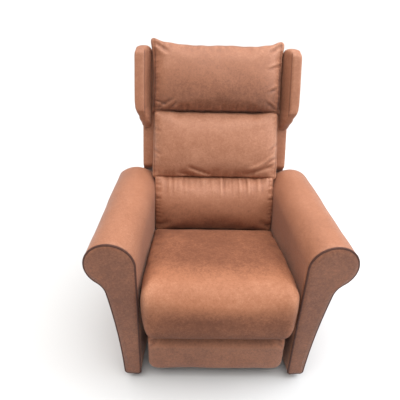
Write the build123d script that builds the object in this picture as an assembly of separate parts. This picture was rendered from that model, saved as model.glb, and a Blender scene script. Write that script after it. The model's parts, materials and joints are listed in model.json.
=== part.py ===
"""Wing-back push-back recliner armchair, as an assembly of separate pieces.

Frame: millimetres, +Z up, the sitter faces -Y, origin on the floor under the middle of the chair.
The chair stands upright and closed. "right_" pieces are on the right as seen from the front, at +X.
"""
from build123d import *
from math import cos, radians, sin, tan
import os

# ---- driving dimensions ---------------------------------------------------------------------------
ARM_FRONT_Y = -382      # plane of the arm fronts
ARM_LENGTH = 600
ARM_INNER_X = 277       # inner face of an arm, at its front
ARM_TOE = 4             # degrees that each arm turns in towards the rear
ARM_BOTTOM_Z = 25
ARM_REAR_ROUND = 68
PANEL_THICK = 8
SCROLL_X, SCROLL_Z, SCROLL_R = 364, 536, 86
SCROLL_END = -55        # degrees round the scroll where its curve turns back into the arm's flank
SCROLL_PINCH = (384, 420)
ARM_OUTER_FOOT = (340, ARM_BOTTOM_Z)
ARM_FOOT_ROUND = 14
WELT_R = 4

HINGE_Y, HINGE_Z = 118, 330     # recline hinge
BACK_LEAN = 19.8                # degrees that the upright back leans backwards
BACK_OUTER_V = 60
BACK_HALF_WIDTH = 300
BACK_TOP_U = 775
STILE_X0, STILE_X1 = 200, 224
STILE_FRONT_V, STILE_REAR_V = -30, 22
CUSHION_PLANE_V = -36           # back face of the three back cushions

FRAME_Z0, FRAME_Z1 = 254, 298   # wooden seat frame
SEAT_PLATE_OUTLINE = [(-285, 105), (-285, 290), (54, 290), (100, 345), (136, 330), (128, 302), (60, 232), (60, 105)]
SEAT_PLATE_LEG = [(-284, 47), (-284, 120), (-226, 120), (-226, 100), (-250, 47)]
SEAT_PLATE_X0, SEAT_PLATE_X1 = 188, 192

LINK_LENGTH = 155               # between the end pivots of a footrest link
LINK_WIDTH = 16
LINK_THICK = 4
LIFT_LAYER_X = 182              # inner faces of the two link layers
CROSS_LAYER_X = 176
DRIVE_PIVOT = (-266, 62)        # y, z of the torque shaft
PIN_R = 4
SHAFT_R = 6
FIT = 0.05                      # running clearance on a radius
OPEN_FIT = 0.6                  # clearance at the pivots where the linkage is left open
LINK_THETA, LINK_THETA_OPEN = 83, 20    # half the angle between crossed links, closed and open
LINK_PHI, LINK_PHI_OPEN = 8, 27         # rise of the linkage's own axis, closed and open
CAM_SLOT_WIDTH = 11.5

PAD_FRONT_Y, PAD_BACK_Y = -387, -349
PAD_HALF_WIDTH = 250
PAD_Z0, PAD_Z1 = 57, 230
BOARD_THICK = 12

TUBE_YS = (-165, 150)           # cross tubes between the arms
TUBE_Z = 65
TUBE_SIZE, TUBE_WALL = 30, 2
END_PLATE_THICK = 5
RAIL_X0, RAIL_X1 = 194, 211     # C-rails that the seat glides in
RAIL_Z0, RAIL_Z1 = 108, 142
RAIL_Y0, RAIL_Y1 = -195, 170
RAIL_WALL = 3

nodes = {}


# ---- helpers --------------------------------------------------------------------------------------
def keep(name, *shapes):
    """Store the solids of one node."""
    solids = [solid for shape in shapes for solid in shape.solids()]
    nodes[name] = solids[0] if len(solids) == 1 else Compound(solids)


def keep_pair(name, shape):
    """Store a right-hand shape and its mirror image as two nodes."""
    keep("right_" + name, shape)
    keep("left_" + name, mirror(shape, about=Plane.YZ))


def both_sides(shape):
    return [shape, mirror(shape, about=Plane.YZ)]


def block(x0, x1, y0, y1, z0, z1):
    return Box(x1 - x0, y1 - y0, z1 - z0).moved(Location(((x0 + x1) / 2, (y0 + y1) / 2, (z0 + z1) / 2)))


def side_plate(points, x0, x1, radius=0):
    """A plate whose outline is given as (y, z), between two X positions."""
    outline = Polyline(*points, close=True)
    face = make_face(outline)
    if radius:
        face = fillet(face.vertices(), radius)
    return extrude(Plane.YZ.offset(x0) * face, x1 - x0)


def rod_x(centre, radius, x0, x1):
    """A round bar along X about a (y, z) centre."""
    return Cylinder(radius, x1 - x0, rotation=(0, 90, 0)).moved(Location(((x0 + x1) / 2, *centre)))


def in_back(shape):
    """Place a shape drawn upright about the hinge (z up the back, y out of it) into the leaning back."""
    return shape.rotate(Axis.X, -BACK_LEAN).moved(Location((0, HINGE_Y, HINGE_Z)))


# ---- arms -----------------------------------------------------------------------------------------
def arm_face(inset=0):
    """Front face of an arm in its own (x, z): an upright post with an outward scroll on top."""
    inner_foot = (SCROLL_X - SCROLL_R, ARM_BOTTOM_Z)
    inner_top = (SCROLL_X - SCROLL_R, SCROLL_Z)
    end_angle, mid_angle = radians(SCROLL_END), radians((180 + SCROLL_END) / 2)
    scroll_mid = (SCROLL_X + SCROLL_R * cos(mid_angle), SCROLL_Z + SCROLL_R * sin(mid_angle))
    scroll_end = (SCROLL_X + SCROLL_R * cos(end_angle), SCROLL_Z + SCROLL_R * sin(end_angle))
    scroll = ThreePointArc(inner_top, scroll_mid, scroll_end)
    throat = TangentArc(scroll_end, SCROLL_PINCH, tangent=scroll % 1)
    flank = TangentArc(SCROLL_PINCH, ARM_OUTER_FOOT, tangent=throat % 1)
    outline = Wire([Line(inner_foot, inner_top), scroll, throat, flank, Line(ARM_OUTER_FOOT, inner_foot)])
    face = make_face(outline)
    feet = face.vertices().sort_by(Axis.Y)[:2]
    face = fillet(feet, ARM_FOOT_ROUND)
    return offset(face, -inset) if inset else face


def toe_in(shape):
    """Turn a shape drawn with Y = 0 at the arm front into the arm's place."""
    pivot = Axis((ARM_INNER_X, 0, 0), (0, 0, 1))
    return shape.rotate(pivot, ARM_TOE).moved(Location((0, ARM_FRONT_Y, 0)))


def arm_prism(inset, y0, y1):
    """The arm outline between two depths behind the arm front."""
    return extrude(Plane.XZ.offset(-y0) * arm_face(inset), -(y1 - y0))


def arm_boards():
    """Wooden frame inside an arm: posts, rails and the two discs that carry the scroll."""
    front_post = block(290, 334, 26, 48, 40, 470)
    rear_post = block(290, 334, 552, 574, 40, 500)
    base_rail = block(296, 322, 48, 552, 40, 110)
    top_rail = block(300, 326, 48, 552, 400, 470)
    boards = front_post + rear_post + base_rail + top_rail
    for y0 in (26, 520):
        disc = Cylinder(56, 20, rotation=(90, 0, 0)).moved(Location((SCROLL_X, y0 + 10, SCROLL_Z)))
        boards = boards + disc + block(318, 340, y0, y0 + 20, 460, 520)
    return boards + block(352, 376, 40, 525, 520, 548)


def bolt_centres():
    """(y behind the arm front, z) of the bolts that hold the cross tubes' end plates to an arm."""
    return [(y - ARM_FRONT_Y + dy, TUBE_Z) for y in TUBE_YS for dy in (-27, 27)]


def build_arm():
    boards = arm_boards()
    bolts = [rod_x(centre, 4, ARM_INNER_X, 318) for centre in bolt_centres()]
    heads = [
        rod_x(centre, 7, ARM_INNER_X - END_PLATE_THICK - 5, ARM_INNER_X - END_PLATE_THICK)
        for centre in bolt_centres()
    ]
    shanks_in_plate = [rod_x(centre, 4, ARM_INNER_X - END_PLATE_THICK, ARM_INNER_X) for centre in bolt_centres()]
    glide_places = [(310, 60), (310, 540)]
    glide = Cylinder(18, 14).moved(Location((0, 0, 7))) + Cylinder(7, 26).moved(Location((0, 0, 27)))
    glides = [glide.moved(Location((x, y, 0))) for x, y in glide_places]
    plates = [
        block(ARM_INNER_X - END_PLATE_THICK, ARM_INNER_X, y - ARM_FRONT_Y - 40, y - ARM_FRONT_Y + 40, 45, 85)
        for y in TUBE_YS
    ]

    cover = arm_prism(0, PANEL_THICK, ARM_LENGTH)
    rear_round = block(200, 500, ARM_LENGTH - ARM_REAR_ROUND, ARM_LENGTH + 1, SCROLL_Z, 700)
    corner = Location((350, ARM_LENGTH - ARM_REAR_ROUND, SCROLL_Z + SCROLL_R - ARM_REAR_ROUND))
    rear_cut = rear_round - Cylinder(ARM_REAR_ROUND, 320, rotation=(0, 90, 0)).moved(corner)
    rear_cut = rear_cut - block(200, 500, 0, ARM_LENGTH + 2, 0, SCROLL_Z + SCROLL_R - ARM_REAR_ROUND)
    cover = cover - rear_cut - boards
    for hole in bolts + glides:
        cover = cover - hole
    for bolt in bolts:
        boards = boards - bolt
    for shank in shanks_in_plate:
        plates = [plate - shank for plate in plates]

    panel = arm_prism(2 * WELT_R - 1, 0, PANEL_THICK)
    welt_path = (Plane.XZ.offset(-WELT_R) * arm_face(WELT_R - 1)).face().outer_wire()
    welt_plane = Plane(welt_path @ 0, z_dir=welt_path % 0)
    welt = sweep(welt_plane * Circle(WELT_R), welt_path)

    keep_pair("arm_cover", toe_in(cover))
    keep("arm_frames", *both_sides(toe_in(boards)))
    keep_pair("arm_front_panel", toe_in(panel - welt))
    keep_pair("arm_piping", toe_in(welt))
    fasteners = [head + shank + bolt for head, shank, bolt in zip(heads, shanks_in_plate, bolts)]
    keep("arm_bolts", *[side for bolt in fasteners for side in both_sides(toe_in(bolt))])
    keep("floor_glides", *[side for foot in glides for side in both_sides(toe_in(foot))])
    keep("base_end_plates", *[side for plate in plates for side in both_sides(toe_in(plate))])


# ---- base between the arms ------------------------------------------------------------------------
def build_base():
    arm_side = toe_in(block(ARM_INNER_X - END_PLATE_THICK, 500, -50, 700, 0, 300))
    tubes = []
    for y in TUBE_YS:
        outer, inner = TUBE_SIZE / 2, TUBE_SIZE / 2 - TUBE_WALL
        tube = block(-290, 290, y - outer, y + outer, TUBE_Z - outer, TUBE_Z + outer)
        tube = tube - block(-290, 290, y - inner, y + inner, TUBE_Z - inner, TUBE_Z + inner)
        for side in both_sides(arm_side):
            tube = tube - side
        tubes.append(tube)
    keep("base_cross_tubes", *tubes)

    rail = block(RAIL_X0, RAIL_X1, RAIL_Y0, RAIL_Y1, RAIL_Z0, RAIL_Z1)
    rail = rail - block(RAIL_X0, RAIL_X1 - RAIL_WALL, RAIL_Y0, RAIL_Y1, RAIL_Z0 + RAIL_WALL, RAIL_Z1 - RAIL_WALL)
    for y in TUBE_YS:
        rail = rail + block(RAIL_X0 + 2, RAIL_X1, y - outer, y + outer, TUBE_Z + outer, RAIL_Z0)
    keep("glide_rails", *both_sides(rail))

    apron = block(-250, 250, 203, 215, 25, 255)
    for side in both_sides(toe_in(block(ARM_INNER_X, 500, -50, 700, 0, 300))):
        apron = apron - side
    keep("rear_apron", apron)


# ---- footrest linkage -----------------------------------------------------------------------------
def along(origin, direction, distance):
    """A point at a distance from (y, z) in a direction given in degrees above forwards."""
    return (origin[0] - distance * cos(radians(direction)), origin[1] + distance * sin(radians(direction)))


def link_points(theta, phi):
    """Lower and upper pivots of the three-stage lazy tongs at one opening."""
    step = LINK_LENGTH * cos(radians(theta))
    rise = LINK_LENGTH * sin(radians(theta))
    lower = [along(DRIVE_PIVOT, phi, step * stage) for stage in range(4)]
    upper = [along(point, phi + 90, rise) for point in lower[:3]]
    return lower, upper


def middle(a, b):
    return ((a[0] + b[0]) / 2, (a[1] + b[1]) / 2)


def slot_face(start, end, width):
    """A straight slot outline with round ends, between two (y, z) centres."""
    reach = Vector(*end) - Vector(*start)
    spin = Vector(1, 0).get_signed_angle(reach, Vector(0, 0, 1))
    return Pos(*middle(start, end)) * Rot(0, 0, spin) * SlotCenterToCenter(reach.length, width)


def link_bar(start, end, x0, holes):
    """A flat link with round ends and the given (centre, radius) holes."""
    body = extrude(Plane.YZ.offset(x0) * slot_face(start, end, LINK_WIDTH), LINK_THICK)
    for hole_centre, radius in holes:
        body = body - rod_x(hole_centre, radius, x0 - 1, x0 + LINK_THICK + 1)
    return body


def rivet(centre, x0=CROSS_LAYER_X, x1=LIFT_LAYER_X + LINK_THICK):
    """A pivot rivet through both link layers, with its heads and the washer between the layers."""
    head = 1.5
    washer = rod_x(centre, 6.5, CROSS_LAYER_X + LINK_THICK, LIFT_LAYER_X)
    return (
        rod_x(centre, PIN_R, x0, x1)
        + washer
        + rod_x(centre, 7, x0 - head, x0)
        + rod_x(centre, 7, x1, x1 + head)
    )


def build_linkage():
    lower, upper = link_points(LINK_THETA, LINK_PHI)
    mid = [middle(lower[stage], upper[stage + 1]) for stage in range(2)]
    arm_mid = middle(upper[2], lower[3])
    own, loose, open_hole = PIN_R, PIN_R + FIT, PIN_R + OPEN_FIT

    drive = link_bar(lower[0], upper[1], LIFT_LAYER_X, [(lower[0], SHAFT_R), (mid[0], own), (upper[1], own)])
    boss = rod_x(lower[0], 9.5, LIFT_LAYER_X, LIFT_LAYER_X + LINK_THICK) - rod_x(lower[0], SHAFT_R, 0, 300)
    keep_pair("drive_link", drive + boss)
    cam = link_bar(upper[0], lower[1], CROSS_LAYER_X, [(upper[0], own), (mid[0], loose), (lower[1], own)])
    keep_pair("cam_link", cam)
    cross = link_bar(upper[1], lower[2], CROSS_LAYER_X, [(upper[1], loose), (mid[1], own), (lower[2], own)])
    keep_pair("cross_link", cross)
    lift = link_bar(lower[1], upper[2], LIFT_LAYER_X, [(lower[1], open_hole), (mid[1], loose), (upper[2], own)])
    keep_pair("lift_link", lift)
    arm = link_bar(upper[2], lower[3], CROSS_LAYER_X, [(upper[2], loose), (arm_mid, open_hole)])
    keep_pair("footrest_arm", arm)
    stay = link_bar(lower[2], arm_mid, LIFT_LAYER_X, [(lower[2], loose), (arm_mid, own)])
    keep_pair("stay_link", stay)

    keep("drive_rivets", *both_sides(rivet(mid[0])), *both_sides(rivet(upper[1])))
    cam_pin = rod_x(upper[0], PIN_R, CROSS_LAYER_X, SEAT_PLATE_X1 + 1)
    for x0 in (CROSS_LAYER_X - 1.5, SEAT_PLATE_X1 + 1):
        cam_pin = cam_pin + rod_x(upper[0], 7, x0, x0 + 1.5)
    keep("cam_pins", *both_sides(cam_pin), *both_sides(rivet(lower[1])))
    keep("cross_rivets", *both_sides(rivet(mid[1])), *both_sides(rivet(lower[2])))
    keep("lift_rivets", *both_sides(rivet(upper[2])))
    keep("stay_rivets", *both_sides(rivet(arm_mid)))
    collars = [rod_x(DRIVE_PIVOT, 9, SEAT_PLATE_X1 + 0.5, SEAT_PLATE_X1 + 5)]
    shaft = rod_x(DRIVE_PIVOT, SHAFT_R, -SEAT_PLATE_X1 - 5, SEAT_PLATE_X1 + 5)
    for collar in collars:
        for side in both_sides(collar):
            shaft = shaft + side
    keep("torque_shaft", shaft)

    board_back = PAD_BACK_Y + BOARD_THICK
    web = side_plate(
        [(board_back, 185), (board_back, 100), (arm_mid[0] - 14, 92), (arm_mid[0] + 6, 185)],
        CROSS_LAYER_X, CROSS_LAYER_X + LINK_THICK,
    )
    web = web - arm - rod_x(arm_mid, 9, 150, 200)
    web = max(web.solids(), key=lambda piece: piece.volume)
    flange = block(150, CROSS_LAYER_X + LINK_THICK, board_back, board_back + 4, 100, 185)
    bracket = web + flange
    screws = []
    for z in (115, 170):
        centre = (162, board_back, z)
        shank = Cylinder(2.5, 12, rotation=(90, 0, 0)).moved(Location((centre[0], board_back - 2, z)))
        head = Cylinder(5, 2.5, rotation=(90, 0, 0)).moved(Location((centre[0], board_back + 5.25, z)))
        screws.append(shank + head)
        bracket = bracket - shank
    keep("footrest_brackets", *both_sides(bracket))
    keep("footrest_screws", *[side for screw in screws for side in both_sides(screw)])

    board = block(-234, 234, PAD_BACK_Y, board_back, 66, 226)
    for screw in screws:
        for side in both_sides(screw):
            board = board - side
    keep("footrest_board", board)
    pad = block(-PAD_HALF_WIDTH, PAD_HALF_WIDTH, PAD_FRONT_Y, PAD_BACK_Y, PAD_Z0, PAD_Z1)
    lower_corners = pad.edges().filter_by(Axis.Y).group_by(Axis.Z)[0]
    pad = fillet(lower_corners, 34)
    pad = fillet(pad.faces().sort_by(Axis.Y)[0].edges(), 16)
    keep("footrest_pad", pad)


# ---- seat -----------------------------------------------------------------------------------------
def cam_slot():
    """The curved slot, as (y, z), that guides the cam link's pin: the pin's own path through the opening."""
    steps = 6
    path = []
    for step in range(steps + 1):
        share = step / steps
        theta = LINK_THETA + share * (LINK_THETA_OPEN - LINK_THETA)
        phi = LINK_PHI + share * (LINK_PHI_OPEN - LINK_PHI)
        path.append(link_points(theta, phi)[1][0])
    slot = slot_face(path[0], path[1], CAM_SLOT_WIDTH)
    for start, end in zip(path[1:], path[2:]):
        slot = slot + slot_face(start, end, CAM_SLOT_WIDTH)
    return slot


def sinuous_spring(length, pitch, swing, wire_r):
    """A zig-zag wire along +Y from the origin."""
    count = int(length / pitch)
    points = [(0, 0)]
    for turn in range(count):
        points.append((swing if turn % 2 else -swing, pitch * (turn + 0.5)))
    points.append((0, pitch * count))
    path = FilletPolyline(*points, radius=5)
    start = Plane(path @ 0, z_dir=path % 0)
    return sweep(start * Circle(wire_r), path)


def build_seat():
    body = fillet(make_face(Polyline(*SEAT_PLATE_OUTLINE, close=True)).vertices(), 8)
    leg = fillet(make_face(Polyline(*SEAT_PLATE_LEG, close=True)).vertices(), 5)
    plate = body + leg + Pos(HINGE_Y, HINGE_Z) * Circle(18)
    plate = plate - cam_slot() - Pos(*DRIVE_PIVOT) * Circle(SHAFT_R + FIT) - Pos(HINGE_Y, HINGE_Z) * Circle(SHAFT_R)
    shoe_gap = RAIL_WALL + 0.5
    shoes = []
    for y in (-150, 20):
        shoe = block(SEAT_PLATE_X1, RAIL_X1 - shoe_gap, y - 22, y + 22, RAIL_Z0 + shoe_gap, RAIL_Z1 - shoe_gap)
        shoes.append(fillet(shoe.edges().filter_by(Axis.X), 5))
    keep("glide_shoes", *[side for shoe in shoes for side in both_sides(shoe)])

    bolt_places = [(y, 276) for y in (-260, -120, 20)]
    shanks = [rod_x(place, 4, SEAT_PLATE_X0, 210) for place in bolt_places]
    heads = [rod_x(place, 7, SEAT_PLATE_X0 - 5, SEAT_PLATE_X0) for place in bolt_places]
    frame_bolts = [shank + head for shank, head in zip(shanks, heads)]
    for place in bolt_places:
        plate = plate - Pos(*place) * Circle(4)
    keep_pair("seat_plate", extrude(Plane.YZ.offset(SEAT_PLATE_X0) * plate, SEAT_PLATE_X1 - SEAT_PLATE_X0))
    keep("seat_bolts", *[side for bolt in frame_bolts for side in both_sides(bolt)])

    front_rail = block(-236, 236, -374, -350, FRAME_Z0, FRAME_Z1)
    rear_rail = block(-SEAT_PLATE_X1, SEAT_PLATE_X1, 34, 58, FRAME_Z0, FRAME_Z1)
    rear_rail = rear_rail - block(SEAT_PLATE_X0, SEAT_PLATE_X1, 30, 60, 0, 400)
    rear_rail = rear_rail - block(-SEAT_PLATE_X1, -SEAT_PLATE_X0, 30, 60, 0, 400)
    keep("seat_front_rail", front_rail)
    keep("seat_rear_rail", rear_rail)
    side_rail = block(SEAT_PLATE_X1, 216, -350, 58, FRAME_Z0, FRAME_Z1)
    for shank in shanks:
        side_rail = side_rail - shank
    keep("seat_side_rails", *both_sides(side_rail))
    spring = sinuous_spring(384, 24, 14, 1.8).moved(Location((0, -350, FRAME_Z1 - 8)))
    spring = spring - front_rail - rear_rail
    keep("seat_springs", *[spring.moved(Location((x, 0, 0))) for x in (-140, -70, 0, 70, 140)])

    profile = [
        Line((-376, 300), (-376, 254)),
        ThreePointArc((-376, 254), (-416, 278), (-437, 342)),
        Line((-437, 342), (-434, 408)),
        ThreePointArc((-434, 408), (-414, 452), (-362, 470)),
        ThreePointArc((-362, 470), (-150, 446), (30, 405)),
        ThreePointArc((30, 405), (52, 398), (60, 378)),
        Line((60, 378), (60, 300)),
        Line((60, 300), (-376, 300)),
    ]
    cushion = extrude(Plane.YZ.offset(-300) * make_face(Wire(profile)), 600)
    plan = Polyline((-264, -450), (-264, -300), (-238, 70), (238, 70), (264, -300), (264, -450), close=True)
    cushion = cushion & extrude(Plane.XY.offset(200) * make_face(plan), 300)
    front = [(-244, 240), (-264, 300), (-264, 440), (-236, 475), (236, 475), (264, 440), (264, 300), (244, 240)]
    cushion = cushion & extrude(Plane.XZ.offset(-100) * make_face(Polyline(*front, close=True)), 600)
    keep("seat_cushion", cushion)

    pin = rod_x((HINGE_Y, HINGE_Z), SHAFT_R, SEAT_PLATE_X0, STILE_X0 + 2)
    washer = rod_x((HINGE_Y, HINGE_Z), 10, SEAT_PLATE_X1, STILE_X0 - 4.3)
    head = rod_x((HINGE_Y, HINGE_Z), 10, SEAT_PLATE_X0 - 3, SEAT_PLATE_X0)
    keep("recline_pins", *both_sides(pin + washer + head))


# ---- back -----------------------------------------------------------------------------------------
def pillow(half_width, u0, u1, bulge, corner):
    """A back cushion: flat behind, bulging forwards, with rounded corners."""
    mid_u = (u0 + u1) / 2
    front = CUSHION_PLANE_V - bulge
    shoulder = CUSHION_PLANE_V - 0.55 * bulge
    edges = [
        Line((CUSHION_PLANE_V, u1), (CUSHION_PLANE_V, u0)),
        Line((CUSHION_PLANE_V, u0), (shoulder, u0 + 2)),
        ThreePointArc((shoulder, u0 + 2), (front, mid_u), (shoulder, u1 - 2)),
        Line((shoulder, u1 - 2), (CUSHION_PLANE_V, u1)),
    ]
    cushion = extrude(Plane.YZ.offset(-half_width) * make_face(Wire(edges)), 2 * half_width)
    height = u1 - u0
    outline = Plane.XZ * (Pos(0, mid_u) * RectangleRounded(2 * half_width, height, corner))
    return cushion & extrude(outline, 200, both=True)


def build_back():
    hinge = (0, 0)
    bracket = side_plate([(-20, -14), (-20, 180), (12, 180), (18, 0), (12, -14)], STILE_X0 - 4, STILE_X0, 6)
    bracket = bracket - rod_x(hinge, SHAFT_R + FIT, 150, 250)
    bolt_places = [(2, u) for u in (60, 150)]
    shanks = [rod_x(place, 4, STILE_X0 - 4, STILE_X1 - 6) for place in bolt_places]
    heads = [rod_x(place, 7, STILE_X0 - 8, STILE_X0 - 4) for place in bolt_places]
    bracket_bolts = [shank + head for shank, head in zip(shanks, heads)]
    stile = block(STILE_X0, STILE_X1, STILE_FRONT_V, STILE_REAR_V, -15, 745)
    stile = stile - rod_x(hinge, SHAFT_R + 2, STILE_X0, STILE_X0 + 4)
    for shank in shanks:
        bracket = bracket - shank
        stile = stile - shank
    keep("back_brackets", *both_sides(in_back(bracket)))
    keep("back_stiles", *both_sides(in_back(stile)))
    keep("bracket_bolts", *[side for bolt in bracket_bolts for side in both_sides(in_back(bolt))])

    rails = [block(-STILE_X0, STILE_X0, STILE_FRONT_V, -8, u, u + 42) for u in (300, 703)]
    rails.append(block(4 - STILE_X0, STILE_X0 - 4, STILE_FRONT_V, -8, 34, 76))
    keep("back_cross_rails", *[in_back(rail) for rail in rails])
    springs = []
    for u, length in ((55, 264), (321, 384)):
        spring = sinuous_spring(length, 24, 14, 1.8).rotate(Axis.X, 90).moved(Location((0, STILE_FRONT_V - 2, u)))
        springs += [in_back(spring.moved(Location((x, 0, 0)))) for x in (-120, -40, 40, 120)]
    keep("back_springs", *springs)

    front_v = CUSHION_PLANE_V + 2
    outline = [(front_v, 302), (front_v, BACK_TOP_U - 5), (STILE_REAR_V, BACK_TOP_U - 5), (STILE_REAR_V, 268)]
    keep_pair("back_side_panel", in_back(side_plate(outline, STILE_X1 + 2, BACK_HALF_WIDTH)))

    wing_plan = Polyline((262, -34), (286, -104), (300, -112), (322, -110), (330, -98), (302, -34), close=True)
    wing = extrude(Plane.XY.offset(440) * make_face(wing_plan), 360)
    wing_side = [
        Line((-34, 455), (-34, BACK_TOP_U)),
        ThreePointArc((-34, BACK_TOP_U), (-90, 770), (-115, 735)),
        Line((-115, 735), (-115, 525)),
        ThreePointArc((-115, 525), (-90, 480), (-34, 455)),
    ]
    wing = wing & extrude(Plane.YZ.offset(250) * make_face(Wire(wing_side)), 100)
    wing_board_plan = Polyline((273, -34), (297, -96), (311, -92), (289, -34), close=True)
    wing_board = extrude(Plane.XY.offset(500) * make_face(wing_board_plan), 240)
    keep_pair("wing", in_back(wing - wing_board))
    keep("wing_boards", *both_sides(in_back(wing_board)))

    cover = block(-BACK_HALF_WIDTH, BACK_HALF_WIDTH, STILE_REAR_V, BACK_OUTER_V, 268, BACK_TOP_U)
    lower_cover = block(-228, 228, STILE_REAR_V, BACK_OUTER_V, 14, 268)
    hem = block(-228, 228, 43, BACK_OUTER_V, -40, 14)
    cover = cover + lower_cover + hem
    keep("back_outer_cover", in_back(cover))

    keep("low_back_cushion", in_back(pillow(232, 48, 259, 74, 30)))
    keep("middle_back_cushion", in_back(pillow(254, 265, 524, 74, 42)))
    head = pillow(257, 530, 792, 78, 26)
    cap = block(-222, 222, CUSHION_PLANE_V, STILE_REAR_V, 748, 788)
    keep("head_cushion", in_back(head + cap))


# ---- build and write ------------------------------------------------------------------------------
build_arm()
build_base()
build_linkage()
build_seat()
build_back()

os.makedirs("parts", exist_ok=True)
for name, shape in nodes.items():
    export_step(shape, f"parts/{name}.step")
print(len(nodes), "nodes")
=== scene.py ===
"""Wing-back recliner armchair: its leather, its frame's finishes and a plain studio around the frame."""

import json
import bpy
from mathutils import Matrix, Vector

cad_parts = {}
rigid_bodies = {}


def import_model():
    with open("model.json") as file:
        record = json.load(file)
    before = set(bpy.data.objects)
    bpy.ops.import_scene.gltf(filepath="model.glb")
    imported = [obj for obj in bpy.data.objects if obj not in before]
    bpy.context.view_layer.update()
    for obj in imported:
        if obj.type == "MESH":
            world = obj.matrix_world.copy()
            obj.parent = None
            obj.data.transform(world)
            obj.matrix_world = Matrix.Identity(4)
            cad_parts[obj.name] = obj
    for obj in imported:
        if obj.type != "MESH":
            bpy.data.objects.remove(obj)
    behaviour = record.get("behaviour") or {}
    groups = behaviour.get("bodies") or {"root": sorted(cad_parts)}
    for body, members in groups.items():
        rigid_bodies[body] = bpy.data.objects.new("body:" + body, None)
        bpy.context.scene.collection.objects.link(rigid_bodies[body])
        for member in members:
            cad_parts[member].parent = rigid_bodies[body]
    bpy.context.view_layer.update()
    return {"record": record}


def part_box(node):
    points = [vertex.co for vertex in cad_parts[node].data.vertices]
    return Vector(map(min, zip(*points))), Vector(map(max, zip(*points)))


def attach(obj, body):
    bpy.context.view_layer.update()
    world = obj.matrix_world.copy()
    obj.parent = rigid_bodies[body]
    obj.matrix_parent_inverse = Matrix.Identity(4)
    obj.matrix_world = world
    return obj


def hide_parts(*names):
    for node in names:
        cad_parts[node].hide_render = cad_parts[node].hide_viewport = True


bl_info = {
    "name": "Wing-back recliner armchair",
    "version": (1, 0, 0),
    "blender": (4, 5, 0),
    "location": "3D View > Sidebar > Recliner",
    "description": "Upholsters a wing-back recliner around its frame, finishes the frame and lights it",
    "category": "Object",
}

from math import cos, pi, radians, sin, sqrt

import bmesh
import bpy
import numpy as np
from bpy.props import FloatProperty, FloatVectorProperty, IntProperty, PointerProperty
from mathutils import Matrix, Vector, noise

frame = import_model()

# ---- places read from the frame -------------------------------------------------------------------
JOINTS = {joint["name"]: joint for joint in frame["record"]["behaviour"]["joints"]}
BACK_LEAN = radians(19.8)
ARM_TOE = radians(4)
ARM_INNER_X = 0.277
ARM_FRONT_Y = -0.382
SCROLL_R = 0.086
SCROLL_END = radians(-55)
SCROLL_PINCH = Vector((0.384, 0, 0.420))
ARM_OUTER_FOOT_X = 0.340
PANEL_THICK = 0.008
ARM_REAR_ROUND = 0.050
ARM_EDGE_ROUND = 0.009
WELT_R = 0.004

CHAIR = Matrix.Identity(4)
BACK = Matrix.Translation(JOINTS["back_recline"]["pos_m"]) @ Matrix.Rotation(-BACK_LEAN, 4, "X")
RIGHT_ARM = (
    Matrix.Translation((ARM_INNER_X, ARM_FRONT_Y, 0))
    @ Matrix.Rotation(ARM_TOE, 4, "Z")
    @ Matrix.Translation((-ARM_INNER_X, 0, 0))
)
MIRROR_X = Matrix.Scale(-1, 4, (1, 0, 0))
SIDES = {"right": Matrix.Identity(4), "left": MIRROR_X}


def node_box(node, place=CHAIR):
    """Lowest and highest corner of a CAD node, measured in a leaning or turned place."""
    inverse = np.array(place.inverted())
    points = points_of(bpy.data.objects[node]) @ inverse[:3, :3].T + inverse[:3, 3]
    return Vector(points.min(axis=0)), Vector(points.max(axis=0))


# ---- settings -------------------------------------------------------------------------------------
class LeatherSettings(bpy.types.PropertyGroup):
    tan: FloatVectorProperty(
        name="Tan", description="Main colour of the hide", subtype="COLOR", size=3, min=0, max=1,
        default=(0.345, 0.140, 0.074),
    )
    # The dark colour shows in random clouds and also as painted shade in folds, seams and shaded places.
    dark: FloatVectorProperty(
        name="Dark", description="Colour in the folds and clouds", subtype="COLOR", size=3, min=0, max=1,
        default=(0.150, 0.056, 0.031),
    )
    # The pale colour shows where the hide is stretched and also as painted highlights.
    pale: FloatVectorProperty(
        name="Pale", description="Colour where the hide is stretched or rubbed", subtype="COLOR", size=3,
        min=0, max=1, default=(0.500, 0.235, 0.140),
    )
    piping: FloatVectorProperty(
        name="Piping", description="Colour of the welt round the arm fronts", subtype="COLOR", size=3,
        min=0, max=1, default=(0.085, 0.036, 0.026),
    )
    grain: FloatProperty(
        name="Grain", description="Width of one pebble of the grain", unit="LENGTH", default=0.0022,
        min=0.0005,
    )
    grain_depth: FloatProperty(
        name="Grain depth", description="Depth of the grain", unit="LENGTH", default=0.0004, min=0,
    )


class CushionSettings(bpy.types.PropertyGroup):
    voxel: FloatProperty(
        name="Mesh size", description="Edge length of a cover's mesh before refining", unit="LENGTH",
        default=0.0065, min=0.003,
    )
    pressure: FloatProperty(name="Filling", description="Pressure of the filling", default=1.3, min=0)
    frames: IntProperty(name="Frames", description="Length of the cloth simulation", default=20, min=2)


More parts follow.
